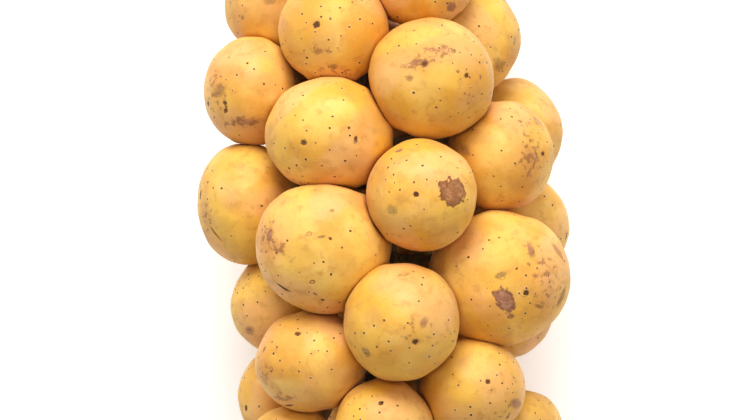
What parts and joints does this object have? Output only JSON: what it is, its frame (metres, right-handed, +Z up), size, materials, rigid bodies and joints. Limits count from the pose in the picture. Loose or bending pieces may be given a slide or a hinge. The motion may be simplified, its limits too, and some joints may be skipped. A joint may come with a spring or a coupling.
{
  "type": "duku fruit bunch",
  "caption": "Tight bunch of golden-brown duku fruits grown round one woody stalk, cut from the tree and lying on its side on small flat spots.",
  "frame": {"origin": "middle of the bunch's box, on the surface that it lies on", "axes": "+Z up, +Y along the stalk towards its cut end, +X across the bunch"},
  "size_m": [0.1178, 0.2512, 0.124],
  "materials": {
    "duku_skin_1": "satin",
    "duku_skin_2": "satin",
    "duku_skin_3": "satin",
    "duku_skin_4": "satin",
    "stalk_bark": "matte"
  },
  "bodies": {
    "root": {"fruit_01": "duku_skin_1", "fruit_02": "duku_skin_2", "fruit_03": "duku_skin_3", "fruit_04": "duku_skin_4", "fruit_05": "duku_skin_1", "fruit_06": "duku_skin_2", "fruit_07": "duku_skin_3", "fruit_08": "duku_skin_4", "fruit_09": "duku_skin_1", "fruit_10": "duku_skin_2", "fruit_11": "duku_skin_3", "fruit_12": "duku_skin_4", "fruit_13": "duku_skin_1", "fruit_14": "duku_skin_2", "fruit_15": "duku_skin_3", "fruit_16": "duku_skin_4", "fruit_17": "duku_skin_1", "fruit_18": "duku_skin_2", "fruit_19": "duku_skin_3", "fruit_20": "duku_skin_4", "fruit_21": "duku_skin_1", "fruit_22": "duku_skin_2", "fruit_23": "duku_skin_3", "fruit_24": "duku_skin_4", "fruit_25": "duku_skin_1", "fruit_26": "duku_skin_2", "fruit_27": "duku_skin_3", "fruit_28": "duku_skin_4", "fruit_29": "duku_skin_1", "fruit_30": "duku_skin_2", "fruit_31": "duku_skin_3", "fruit_32": "duku_skin_4", "fruit_33": "duku_skin_1", "fruit_34": "duku_skin_2", "fruit_35": "duku_skin_3", "fruit_36": "duku_skin_4", "fruit_37": "duku_skin_1", "fruit_38": "duku_skin_2", "fruit_39": "duku_skin_3", "fruit_40": "duku_skin_4", "fruit_41": "duku_skin_1", "fruit_42": "duku_skin_2", "fruit_43": "duku_skin_3", "fruit_44": "duku_skin_4", "fruit_45": "duku_skin_1", "fruit_46": "duku_skin_2", "stalk": "stalk_bark"}
  },
  "joints": []
}
